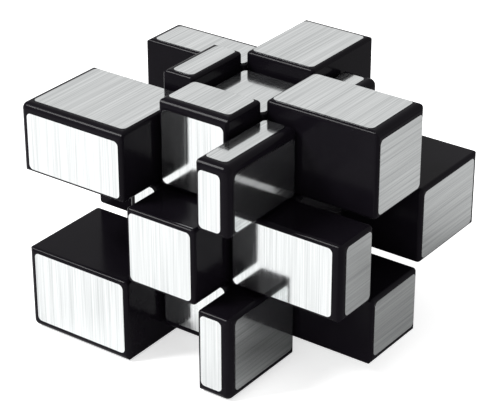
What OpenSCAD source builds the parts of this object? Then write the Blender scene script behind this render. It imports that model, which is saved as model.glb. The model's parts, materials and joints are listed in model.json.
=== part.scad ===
// Mirror block cube: a 3 x 3 x 3 turning puzzle with nine blocks in each layer, where every outer
// layer has its own thickness, so that the cube changes its shape when it is turned.
// Here it stands in its chequerboard state: the eight corners and six centres are at home, and each
// edge block has changed places with the edge diagonally opposite to it.
// Origin at the centre of the core. X runs to the right, Y away from the front, Z up. Millimetres.
// A block is named by its signs, such as [-1, -1, 1] for the corner on the left, at the front, on top.

/* [Cube] */
// Side of the solved cube
cube_side = 57; // [56:0.5:60]
// Thickness of the middle slice, the same in all three directions
slice_t = 19; // [18.6:0.1:19.4]
// How far the core lies off the cube's centre, from left to right
offset_x = 10; // [8:0.5:10]
// How far the core lies off the cube's centre, from front to back
offset_y = 6; // [4:0.5:8]
// How far the core lies off the cube's centre, upwards
offset_z = 2; // [0:0.5:4]

/* [Shells] */
// Wall of the hollow blocks
wall = 1.6; // [1.2:0.1:1.8]
// Radius along an edge between two outside faces
round_outer = 1.6; // [1:0.1:1.8]
// Radius along an edge beside a cut between two blocks
round_cut = 0.9; // [0.5:0.1:1]
// Half of the gap between two neighbouring blocks
gap = 0.25; // [0.15:0.01:0.3]

/* [Foils] */
// Thickness of the mirror foil
foil_t = 0.15; // [0.1:0.01:0.2]
// From the foil's border to an outside face
foil_inset_outer = 2.2; // [1.6:0.1:2.5]
// From the foil's border to the cut between two blocks
foil_inset_cut = 1.2; // [1:0.1:1.6]
// Corner radius of the foil
foil_r = 1.1; // [0.6:0.1:2]

/* [Turning mechanism] */
// Height at which a layer's round dip ends, over the core
dip_floor = 6; // [5.8:0.1:6.2]
// Radius of the dip at its floor
dip_floor_r = 13; // [12.8:0.1:13.2]
// Radius of the dip where it meets the cut
dip_top_r = 16; // [15.8:0.1:16.2]
// Radius of the ball that the toes of the feet make together
toe_ball_r = 13.5; // [13.2:0.1:13.7]
// Height over the core at which the toes begin
toe_floor = 4.4; // [4.2:0.1:4.6]
// Radius of the room that the toes leave for the core
core_room_r = 9; // [8.8:0.1:9.2]
// Radius of the sphere where an edge's foot ends and its shell begins
edge_joint_r = 18.8; // [18.7:0.05:18.9]
// The same for a corner
corner_joint_r = 21.5; // [21:0.1:21.6]
// How far a foot reaches into the hollow of its shell
foot_lap = 2; // [1:0.1:3]

/* [Core, screws and springs] */
// Radius of the core's ball
core_r = 7; // [6.5:0.1:7.4]
// Radius of the core's six arms
arm_r = 3.6; // [3.4:0.1:3.8]
// Length of an arm from the core's centre
arm_l = 8.4; // [8.2:0.1:8.5]
// Diameter of the screws
screw_d = 2.9; // [2.6:0.1:3]
// Diameter of a screw's head
head_d = 5.2; // [5:0.1:5.4]
// Height of a screw's head
head_h = 1.3; // [1.1:0.1:1.4]
// Diameter of the spring's wire
wire_d = 0.5; // [0.4:0.05:0.6]
// Turns in a spring
turns = 4; // [3:1:5]

/* [Hidden] */
SIGNS = [-1, 0, 1];
BLOCKS = [for (z = SIGNS, y = SIGNS, x = SIGNS) if (x != 0 || y != 0 || z != 0) [x, y, z]];
CENTRES = [for (s = BLOCKS) if (faces(s) == 1) s];
EDGES = [for (s = BLOCKS) if (faces(s) == 2) s];
CORNERS = [for (s = BLOCKS) if (faces(s) == 3) s];
WORDS = [["left", "right"], ["front", "back"], ["down", "up"]];
CORE_OFFSET = [offset_x, offset_y, offset_z];

$fn = 96;
cut = slice_t / 2;           // where the cuts between the layers lie
far = cube_side;             // farther out than any block
boss_z = arm_l + 0.3;        // foot of a centre's boss, over the arm of the core
pocket_z = boss_z + 1.4;     // floor of the spring's pocket
pocket_r = 2.9;              // the spring's pocket, down inside the boss
washer_z = 13.3;             // underside of the washer
washer_t = 0.5;
collar_z = 15.2;             // floor of the recess that takes the cap's collar
collar_r = 4;
collar_wall = 1;
cap_seat = 16.4;             // where a centre's cap sits on its body
screw_tip = 2.6;             // how near a screw's point comes to the core's centre
slip = 0.05;                 // a spring's end clears the part that turns under it by this much
coil_steps = 12;             // rings in one turn of a spring
coil_sides = 6;              // sides of its wire

// How many outside faces a block has: 1 for a centre, 2 for an edge, 3 for a corner
function faces(s) = abs(s[0]) + abs(s[1]) + abs(s[2]);

function word(s, i) = s[i] == 0 ? "" : str("_", WORDS[i][s[i] < 0 ? 0 : 1]);
function block_name(s, piece) =
    str(["centre", "edge", "corner"][faces(s) - 1], word(s, 2), word(s, 1), word(s, 0), "_", piece);

// From the core to an outside face along axis i. An edge block has the faces of the opposite edge.
function face_at(s, i) = cube_side / 2 + (faces(s) == 2 ? 1 : -1) * s[i] * CORE_OFFSET[i];

// Limits of a block's plastic, with its outside faces turned to the positive side
function low(s) = [for (i = [0:2]) s[i] == 0 ? gap - cut : cut + gap];
function high(s) = [for (i = [0:2]) s[i] == 0 ? cut - gap : face_at(s, i) - foil_t];
function joint_r(s) = faces(s) == 2 ? edge_joint_r : corner_joint_r;

// Stands a shape that was drawn along +Z on axis i. Its own X and Y become the next two axes.
module on_axis(i) rotate([[90, 0, 90], [-90, -90, 0], [0, 0, 0]][i]) children();

// Turns a block that was drawn on the positive side to the side where it belongs
module flip(negative, axis) {
    if (negative) mirror(axis) children();
    else children();
}
module in_place(s)
    flip(s[0] < 0, [1, 0, 0]) flip(s[1] < 0, [0, 1, 0]) flip(s[2] < 0, [0, 0, 1]) children();

// Rectangle with its own radius at each corner, counted anticlockwise from the low one
module rounded_rect(lo, hi, r) {
    difference() {
        translate(lo) square(hi - lo);
        for (k = [0:3]) {
            at_high = [k == 1 || k == 2, k >= 2];
            translate([at_high[0] ? hi[0] : lo[0], at_high[1] ? hi[1] : lo[1]])
                flip(at_high[0], [1, 0]) flip(at_high[1], [0, 1]) difference() {
                    translate([-1, -1]) square(r[k] + 1);
                    translate([r[k], r[k]]) circle(r[k]);
                }
        }
    }
}

module box(lo, hi) translate(lo) cube(hi - lo);

// What a ball of radius r at the origin's positive side leaves of a sharp corner at the origin.
// The ball is turned so that its poles and its seam lie away from the corner.
module sharp_corner(r) {
    difference() {
        translate([-1, -1, -1]) cube(r + 1);
        translate([r, r, r]) rotate([90, 0, 45]) sphere(r);
    }
}

// Box with soft edges and corners: wide where outside faces meet, narrow everywhere else
module soft_box(s, lo, hi) {
    difference() {
        intersection_for (i = [0:2]) {
            j = (i + 1) % 3;
            k = (i + 2) % 3;
            outer = s[j] != 0 && s[k] != 0 ? round_outer : round_cut;
            on_axis(i) translate([0, 0, lo[i]]) linear_extrude(hi[i] - lo[i])
                rounded_rect([lo[j], lo[k]], [hi[j], hi[k]], [round_cut, round_cut, outer, round_cut]);
        }
        for (x = [0, 1], y = [0, 1], z = [0, 1]) {
            outside = x * s[0] != 0 && y * s[1] != 0 && z * s[2] != 0;
            translate([x == 1 ? hi[0] : lo[0], y == 1 ? hi[1] : lo[1], z == 1 ? hi[2] : lo[2]])
                flip(x == 1, [1, 0, 0]) flip(y == 1, [0, 1, 0]) flip(z == 1, [0, 0, 1])
                sharp_corner(outside ? round_outer : round_cut);
        }
    }
}

// All the room of the layer on axis i: a flat cut outside, a round dip over the core, and the ball
// of toes below it. Every wall is round about the axis, so that the layer can turn.
module layer_room(i, grow) {
    on_axis(i) {
        rotate_extrude() polygon([
            [0, dip_floor - grow], [dip_floor_r + grow, dip_floor - grow],
            [dip_top_r + grow, cut - grow], [far, cut - grow], [far, far], [0, far]]);
        intersection() {
            sphere(toe_ball_r + grow);
            translate([-toe_ball_r, -toe_ball_r, toe_floor - grow]) cube(2 * toe_ball_r);
        }
    }
}

// The room of one block in the middle of the cube: inside the layers it belongs to, outside the rest
module block_room(s) {
    difference() {
        intersection() {
            children();
            intersection_for (i = [for (i = [0:2]) if (s[i] != 0) i]) layer_room(i, -gap);
        }
        sphere(core_room_r);
        for (i = [for (i = [0:2]) if (s[i] == 0) i], side = [false, true])
            flip(side, [i == 0 ? 1 : 0, i == 1 ? 1 : 0, i == 2 ? 1 : 0]) layer_room(i, gap);
    }
}

module hollow(s) {
    inset = [wall, wall, wall];
    box(low(s) + inset, high(s) - inset);
}

// Foot of a corner or an edge: a toe under its neighbours, a stalk, and a plug that is glued into the
// shell. A corner's foot also makes the inner corner of the block.
module foot(s) {
    color([0.1, 0.1, 0.11]) in_place(s) {
        block_room(s) sphere(edge_joint_r);
        if (faces(s) == 3) intersection() {
            soft_box(s, low(s), high(s));
            sphere(corner_joint_r);
        }
        intersection() {
            hollow(s);
            sphere(joint_r(s) + foot_lap);
        }
    }
}

// Hollow block of a corner or an edge, open towards the core where the foot is glued in
module shell(s) {
    color([0.05, 0.05, 0.055]) in_place(s) difference() {
        soft_box(s, low(s), high(s));
        hollow(s);
        sphere(joint_r(s));
    }
}

// Centre block that turns on its screw. It is drawn upright and then laid on its axis.
module centre_body(s) {
    color([0.1, 0.1, 0.11]) on_centre(s) difference() {
        block_room([0, 0, 1]) translate([-cut, -cut, boss_z]) cube([slice_t, slice_t, cap_seat - boss_z]);
        cylinder(h = far, r = screw_d / 2 + 0.25);
        translate([0, 0, pocket_z]) cylinder(h = far, r = pocket_r);
        translate([0, 0, collar_z]) cylinder(h = far, r = collar_r);
    }
}

function axis_of(s) = s[0] != 0 ? 0 : s[1] != 0 ? 1 : 2;
module on_centre(s) in_place(s) on_axis(axis_of(s)) children();

// Cap that carries the centre's foil. Its tube snaps into the body over the screw's head.
module centre_cap(s) {
    top = face_at(s, axis_of(s)) - foil_t;
    side = cut - gap;
    color([0.05, 0.05, 0.055]) on_centre(s) {
        difference() {
            soft_box([0, 0, 1], [-side, -side, cap_seat], [side, side, top]);
            if (top - wall > cap_seat + wall)
                box([wall - side, wall - side, cap_seat - 1], [side - wall, side - wall, top - wall]);
            translate([0, 0, cap_seat - 1]) cylinder(h = 1.5, r = collar_r - collar_wall);
        }
        difference() {
            translate([0, 0, collar_z]) cylinder(h = top - wall / 2 - collar_z, r = collar_r);
            translate([0, 0, collar_z - 1])
                cylinder(h = top - wall - collar_z + 1, r = collar_r - collar_wall);
        }
    }
}

// Ball with six arms, each drilled for a screw
module core() {
    color([0.16, 0.16, 0.17]) difference() {
        union() {
            sphere(core_r);
            for (s = CENTRES) on_centre(s) cylinder(h = arm_l, r = arm_r);
        }
        for (s = CENTRES) on_centre(s) translate([0, 0, screw_tip]) cylinder(h = far, d = screw_d);
    }
}

// Six pan head screws with cross slots. They hold the centres to the core and set how tightly it turns.
module tension_screws() {
    head_z = washer_z + washer_t;
    color([0.66, 0.67, 0.68]) for (s = CENTRES) on_centre(s) difference() {
        union() {
            translate([0, 0, screw_tip]) cylinder(h = head_z - screw_tip, d = screw_d);
            translate([0, 0, head_z]) cylinder(h = head_h, d = head_d);
        }
        for (turn = [0, 90]) rotate(turn) translate([-1.5, -0.3, head_z + head_h / 2]) cube([3, 0.6, 2]);
    }
}

// Six coil springs that press the centres towards the core, with their end turns laid flat
module tension_springs() {
    coil_r = head_d / 2 - wire_d / 2;
    low_z = pocket_z + slip + wire_d / 2;
    rise = washer_z - wire_d / 2 - low_z;
    last = turns * coil_steps;
    flat = 0.75;
    rings = [for (n = [0:last]) let (t = n / coil_steps)
        [360 * t, low_z + rise * min(1, max(0, (t - flat) / (turns - 2 * flat)))]];
    points = [for (ring = rings, m = [0:coil_sides - 1]) let (a = 360 * m / coil_sides)
        let (r = coil_r + wire_d / 2 * cos(a))
        [r * cos(ring[0]), r * sin(ring[0]), ring[1] + wire_d / 2 * sin(a)]];
    sides = [for (n = [0:last - 1], m = [0:coil_sides - 1]) let (next = (m + 1) % coil_sides)
        [n * coil_sides + m, n * coil_sides + next, (n + 1) * coil_sides + next, (n + 1) * coil_sides + m]];
    ends = [[for (m = [coil_sides - 1:-1:0]) m], [for (m = [0:coil_sides - 1]) last * coil_sides + m]];
    color([0.75, 0.75, 0.76]) for (s = CENTRES) on_centre(s) polyhedron(points, concat(sides, ends));
}

module spring_washers() {
    color([0.7, 0.7, 0.71]) for (s = CENTRES) on_centre(s) translate([0, 0, washer_z]) difference() {
        cylinder(h = washer_t, d = head_d + 0.2);
        translate([0, 0, -1]) cylinder(h = washer_t + 2, d = screw_d + 0.1);
    }
}

// Mirror foil on the outside face along axis i
module foil(s, i) {
    j = (i + 1) % 3;
    k = (i + 2) % 3;
    inner = [for (n = [j, k]) s[n] == 0 ? foil_inset_cut - cut : cut + foil_inset_cut];
    outer = [for (n = [j, k]) s[n] == 0 ? cut - foil_inset_cut : face_at(s, n) - foil_inset_outer];
    in_place(s) on_axis(i) translate([0, 0, face_at(s, i) - foil_t]) linear_extrude(foil_t)
        rounded_rect(inner, outer, [foil_r, foil_r, foil_r, foil_r]);
}

// The cube stands on the bottom foils of the lower corners and the lower centre
function rests(s, i) = i == 2 && s[2] < 0 && faces(s) != 2;

// All the foils of one layer, either those it rests on or the others
module layer_foils(level, resting = false) {
    color([0.83, 0.84, 0.85]) for (s = BLOCKS, i = [0:2])
        if (s[2] == level && s[i] != 0 && rests(s, i) == resting) foil(s, i);
}

core();
tension_screws();
tension_springs();
spring_washers();
for (s = CENTRES) centre_body(s);
for (s = CENTRES) centre_cap(s);
for (s = concat(EDGES, CORNERS)) foot(s);
for (s = concat(EDGES, CORNERS)) shell(s);
layer_foils(1);  // up_layer_foils
layer_foils(0);  // middle_slice_foils
layer_foils(-1);  // down_layer_foils
layer_foils(-1, true);  // down_resting_foils
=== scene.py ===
"""Mirror block cube in its chequerboard state: black moulded blocks with brushed mirror foils."""
import json
import math

import bpy
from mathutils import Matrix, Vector


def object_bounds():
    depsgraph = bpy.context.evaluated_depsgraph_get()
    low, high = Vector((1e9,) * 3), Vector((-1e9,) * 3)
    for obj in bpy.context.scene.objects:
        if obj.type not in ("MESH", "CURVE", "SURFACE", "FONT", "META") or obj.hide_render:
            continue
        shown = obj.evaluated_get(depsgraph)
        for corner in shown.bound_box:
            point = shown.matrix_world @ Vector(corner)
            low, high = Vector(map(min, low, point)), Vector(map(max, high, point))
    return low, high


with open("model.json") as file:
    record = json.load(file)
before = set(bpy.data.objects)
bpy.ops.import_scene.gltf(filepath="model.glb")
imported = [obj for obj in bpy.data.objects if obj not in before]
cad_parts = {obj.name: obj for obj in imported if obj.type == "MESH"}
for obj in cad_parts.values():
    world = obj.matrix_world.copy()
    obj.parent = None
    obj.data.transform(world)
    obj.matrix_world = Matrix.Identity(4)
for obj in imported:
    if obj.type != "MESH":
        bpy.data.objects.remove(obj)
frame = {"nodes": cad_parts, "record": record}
cad_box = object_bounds()

MM = 0.001

# Camera: the direction it looks from, its place measured from the core, and its lens
VIEW_AZIMUTH = math.radians(35.87)
VIEW_ELEVATION = math.radians(27.72)
CAMERA_PLACE = Vector((228.8, -317.8, 202.9)) * MM
LENS = 139.7                   # in mm, like the width of the film
FILM_WIDTH = 36.0

# Stage
FLOOR_DROP = 0.1 * MM          # keeps the floor just clear of the foils that the cube rests on
FLOOR_REACH = 3.0
FLOOR_GLOW = 0.62
SKY_LEVEL = 0.71
KEY_PLACE = (-0.66, -0.66, 0.88)
KEY_SIZE = 0.40
KEY_POWER = 17.0

# Brushed foil
STREAKS = ((3600.0, 30.0), (1700.0, 16.0), (5200.0, 90.0))   # scale across and along the brush lines
STREAK_DEPTH_SCALE = 900.0
SQUARE_ON = 0.7                # a face counts as facing an axis when its normal has more than this


# ---------------------------------------------------------------- node helpers
class Tree:
    """A short way to write a material's nodes."""

    def __init__(self, name):
        self.material = bpy.data.materials.new(name)
        self.material.use_nodes = True
        self.tree = self.material.node_tree
        self.tree.nodes.clear()
        self.output = self.tree.nodes.new("ShaderNodeOutputMaterial")

    def node(self, kind, inputs=None, **settings):
        made = self.tree.nodes.new("ShaderNode" + kind)
        for name, value in settings.items():
            setattr(made, name, value)
        for name, value in (inputs or {}).items():
            self.put(made.inputs[name], value)
        return made

    def put(self, socket, value):
        if isinstance(value, bpy.types.NodeSocket):
            self.tree.links.new(value, socket)
        else:
            socket.default_value = value

    def math(self, operation, *values):
        made = self.node("Math", operation=operation)
        for socket, value in zip(made.inputs, values):
            self.put(socket, value)
        return made.outputs[0]

    def remap(self, value, low, high, to_low=0.0, to_high=1.0):
        made = self.node("MapRange", {"Value": value, "From Min": low, "From Max": high,
                                      "To Min": to_low, "To Max": to_high})
        return made.outputs[0]

    def vector(self, x, y, z):
        return self.node("CombineXYZ", {"X": x, "Y": y, "Z": z}).outputs[0]

    def noise(self, vector, scale, detail=2.0, roughness=0.5):
        made = self.node("TexNoise", {"Vector": vector, "Scale": scale, "Detail": detail,
                                      "Roughness": roughness})
        return made.outputs["Fac"]

    def mix(self, factor, a, b):
        made = self.node("Mix", data_type="RGBA")
        for index, value in ((0, factor), (6, a), (7, b)):
            self.put(made.inputs[index], value)
        return made.outputs[2]

    def bump(self, height, distance, strength=1.0):
        made = self.node("Bump", {"Height": height, "Distance": distance, "Strength": strength})
        return made.outputs[0]

    def principled(self, **inputs):
        made = self.node("BsdfPrincipled")
        for name, value in inputs.items():
            self.put(made.inputs[name.replace("_", " ")], value)
        self.put(self.output.inputs["Surface"], made.outputs[0])
        return self.material


def rgb(r, g, b):
    return (r, g, b, 1.0)


# ---------------------------------------------------------------- materials
def gloss_plastic():
    t = Tree("gloss_black_plastic")
    at = t.node("TexCoord").outputs["Object"]
    flow = t.noise(at, 160.0, 3.0)
    fine = t.noise(at, 2600.0, 2.0)
    height = t.math("ADD", flow, t.math("MULTIPLY", fine, 0.15))
    return t.principled(
        Base_Color=t.mix(flow, rgb(0.0038, 0.0031, 0.0046), rgb(0.0060, 0.0050, 0.0072)),
        Roughness=t.remap(fine, 0.3, 0.7, 0.12, 0.20),
        IOR=1.13,
        Normal=t.bump(height, 0.00002, 0.6))


def satin_plastic(name, dark, light):
    t = Tree(name)
    at = t.node("TexCoord").outputs["Object"]
    grain = t.noise(at, 1800.0, 4.0)
    return t.principled(
        Base_Color=t.mix(grain, dark, light),
        Roughness=t.remap(grain, 0.3, 0.7, 0.38, 0.5),
        Normal=t.bump(grain, 0.00002, 0.5))


def bright_steel():
    t = Tree("zinc_plated_steel")
    at = t.node("TexCoord").outputs["Object"]
    stain = t.noise(at, 500.0, 4.0)
    return t.principled(
        Base_Color=t.mix(stain, rgb(0.52, 0.52, 0.53), rgb(0.70, 0.70, 0.71)),
        Metallic=1.0,
        Roughness=t.remap(stain, 0.3, 0.7, 0.22, 0.36),
        Normal=t.bump(stain, 0.00001, 0.3))


def brushed_foil():
    """Mirror foil whose brush lines run along Z on the front and back, and along Y everywhere else."""
    t = Tree("brushed_mirror_foil")
    coordinates = t.node("TexCoord")
    at = t.node("SeparateXYZ", {"Vector": coordinates.outputs["Object"]}).outputs
    facing = t.node("SeparateXYZ", {"Vector": coordinates.outputs["Normal"]}).outputs
    sideways = t.math("GREATER_THAN", t.math("ABSOLUTE", facing[0]), SQUARE_ON)
    upright = t.math("GREATER_THAN", t.math("ABSOLUTE", facing[1]), SQUARE_ON)

    def choose(where, yes, no):
        return t.math("ADD", t.math("MULTIPLY", where, yes),
                      t.math("MULTIPLY", t.math("SUBTRACT", 1.0, where), no))

    across = choose(sideways, at[2], at[0])
    along = choose(upright, at[2], at[1])
    deep = choose(sideways, at[0], choose(upright, at[1], at[2]))
    streaks = []
    for wide, long in STREAKS:
        place = t.vector(t.math("MULTIPLY", across, wide), t.math("MULTIPLY", along, long),
                         t.math("MULTIPLY", deep, STREAK_DEPTH_SCALE))
        streaks.append(t.noise(place, 1.0, 2.0, 0.55))
    fine, broad, hair = streaks
    lines = t.math("ADD", t.math("MULTIPLY", fine, 0.6), t.math("MULTIPLY", broad, 0.4))
    tangent = t.vector(0.0, t.math("SUBTRACT", 1.0, upright), upright)
    tangent = t.node("VectorTransform", {"Vector": tangent}, vector_type="VECTOR",
                     convert_from="OBJECT", convert_to="WORLD").outputs[0]
    return t.principled(
        Base_Color=t.mix(t.remap(lines, 0.36, 0.62), rgb(0.66, 0.68, 0.68), rgb(0.94, 0.96, 0.96)),
        Metallic=0.985,
        Roughness=t.remap(fine, 0.3, 0.7, 0.06, 0.14),
        Anisotropic=0.4,
        Tangent=tangent,
        Normal=t.bump(hair, 0.000004, 0.4))


# ---------------------------------------------------------------- the CAD nodes get their materials
materials = {
    "gloss_black": gloss_plastic(),
    "inner_plastic": satin_plastic("satin_black_plastic", rgb(0.010, 0.010, 0.011),
                                   rgb(0.018, 0.018, 0.019)),
    "core_plastic": satin_plastic("core_nylon", rgb(0.09, 0.09, 0.095), rgb(0.13, 0.13, 0.135)),
    "steel": bright_steel(),
    "mirror_foil": brushed_foil(),
}
for part in frame["record"]["subparts"]:
    node = frame["nodes"][part["node"]]
    node.data.materials.clear()
    node.data.materials.append(materials[part["material_slot"]])


# ---------------------------------------------------------------- floor, light and camera
def add_mesh(name, corners, faces, material):
    mesh = bpy.data.meshes.new(name)
    mesh.from_pydata(corners, [], faces)
    mesh.materials.append(material)
    made = bpy.data.objects.new(name, mesh)
    bpy.context.scene.collection.objects.link(made)


def floor_material():
    """A white table that glows a little. In reflections it is a grey floor with painted shade instead:
    pale in front on the left, darkest close behind the cube on the right like its shadow, mid grey
    further back on the right.
    """
    t = Tree("white_floor")
    at = t.node("TexCoord").outputs["Object"]
    cloud = t.noise(at, 30.0, 3.0)
    place = t.node("SeparateXYZ", {"Vector": at}).outputs
    diagonal = t.math("ADD", place[0], place[1])
    table = t.node("BsdfPrincipled", {
        "Base Color": t.mix(cloud, rgb(0.86, 0.86, 0.86), rgb(0.90, 0.90, 0.90)), "Roughness": 0.6,
        "Emission Color": rgb(1.0, 1.0, 1.0), "Emission Strength": FLOOR_GLOW})
    # Painted shade, seen only in reflections: pale floor in front on the left, falling to its darkest
    # just behind the cube on the right, like the cube's shadow.
    painted_floor_shade = t.mix(t.remap(diagonal, -0.02, 0.015), rgb(0.79, 0.79, 0.79), rgb(0.28, 0.28, 0.28))
    # More painted shade: mid grey further back on the right, where the key light falls less.
    painted_floor_shade = t.mix(t.remap(diagonal, 0.02, 0.05), painted_floor_shade, rgb(0.43, 0.43, 0.43))
    reflected_floor_shade = t.node("BsdfDiffuse", {"Color": painted_floor_shade})
    # Glossy rays see the painted-shade floor, all other rays see the glowing white table.
    either = t.node("MixShader", {0: t.node("LightPath").outputs["Is Glossy Ray"]})
    t.put(either.inputs[1], table.outputs[0])
    t.put(either.inputs[2], reflected_floor_shade.outputs[0])
    t.put(t.output.inputs["Surface"], either.outputs[0])
    return t.material


def add_floor():
    low = cad_box[0][2] - FLOOR_DROP
    corners = ((-1, -1), (1, -1), (1, 1), (-1, 1))
    square = [(x * FLOOR_REACH, y * FLOOR_REACH, low) for x, y in corners]
    add_mesh("floor", square, [(0, 1, 2, 3)], floor_material())


def add_softbox(name, place, aim, size, power):
    light = bpy.data.lights.new(name, "AREA")
    light.shape = "RECTANGLE"
    light.size, light.size_y = size
    light.energy = power
    made = bpy.data.objects.new(name, light)
    made.location = place
    made.rotation_euler = (Vector(aim) - Vector(place)).to_track_quat("-Z", "Y").to_euler()
    bpy.context.scene.collection.objects.link(made)


def set_world(level):
    world = bpy.data.worlds.new("soft_sky")
    world.use_nodes = True
    background = world.node_tree.nodes["Background"]
    background.inputs["Color"].default_value = rgb(1.0, 1.0, 1.0)
    background.inputs["Strength"].default_value = level
    bpy.context.scene.world = world


def add_camera():
    level = math.cos(VIEW_ELEVATION)
    forward = Vector((-math.sin(VIEW_AZIMUTH) * level, math.cos(VIEW_AZIMUTH) * level,
                      -math.sin(VIEW_ELEVATION)))
    data = bpy.data.cameras.new("camera")
    data.lens = LENS
    data.sensor_width = FILM_WIDTH
    data.clip_start = 0.01
    made = bpy.data.objects.new("camera", data)
    made.location = CAMERA_PLACE
    made.rotation_euler = forward.to_track_quat("-Z", "Y").to_euler()
    bpy.context.scene.collection.objects.link(made)
    bpy.context.scene.camera = made


add_floor()
set_world(SKY_LEVEL)
add_softbox("key", KEY_PLACE, (0.0, 0.0, 0.0), (KEY_SIZE, KEY_SIZE), KEY_POWER)
add_camera()
bpy.context.scene.view_settings.view_transform = "Standard"
